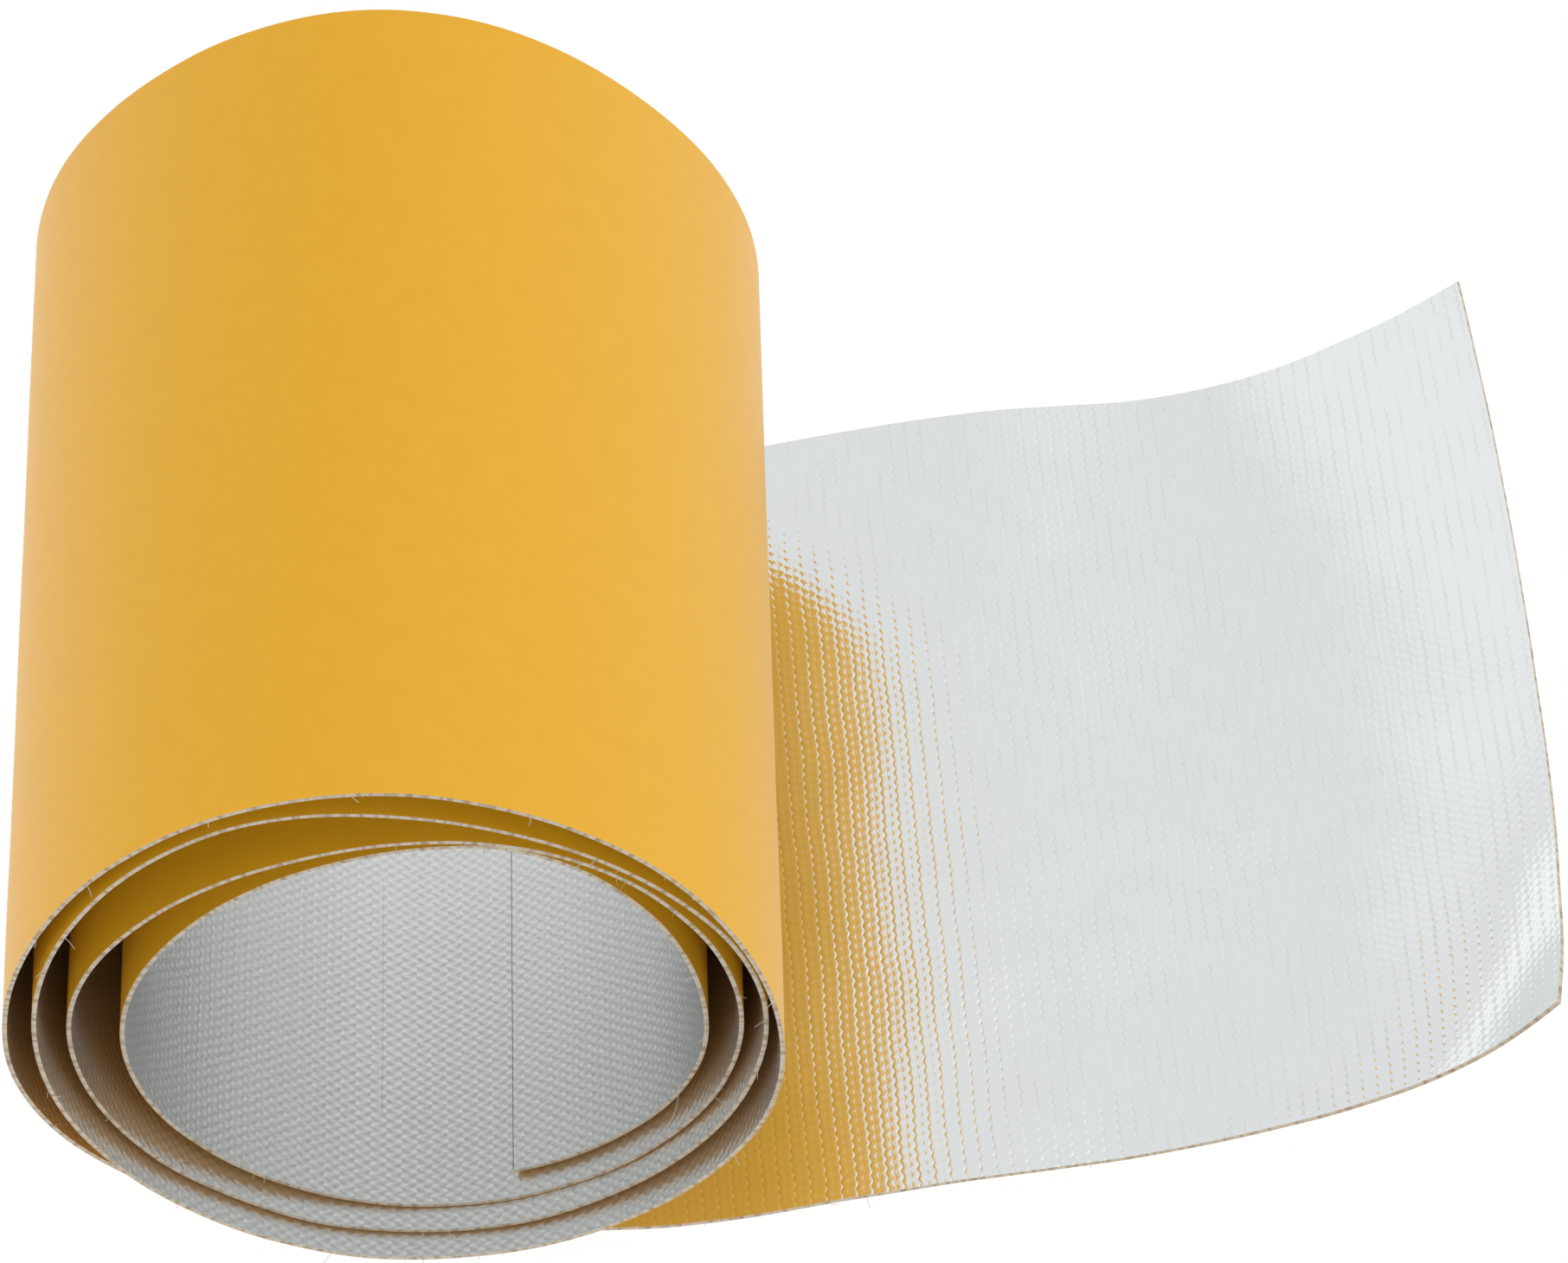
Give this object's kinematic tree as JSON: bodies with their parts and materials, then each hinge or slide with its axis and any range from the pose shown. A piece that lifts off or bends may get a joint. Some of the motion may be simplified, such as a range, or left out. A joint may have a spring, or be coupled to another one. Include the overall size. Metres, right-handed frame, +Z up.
{
  "type": "exhaust heat wrap",
  "caption": "Loosely wound sheet of foil-faced glass cloth with release paper outwards, lying on its side, its free lead flat on the floor and curling up at the end.",
  "frame": {"origin": "on the floor, under the middle of the whole part's box", "axes": "+X from the roll towards the free end of the lead, +Y along the roll from its near end to its far end, +Z up"},
  "size_m": [0.185, 0.1312, 0.0919],
  "materials": {
    "foil_glass_cloth": "satin",
    "release_paper": "satin"
  },
  "bodies": {
    "root": {"foil_glass_cloth": "foil_glass_cloth", "release_paper": "release_paper"}
  },
  "joints": []
}
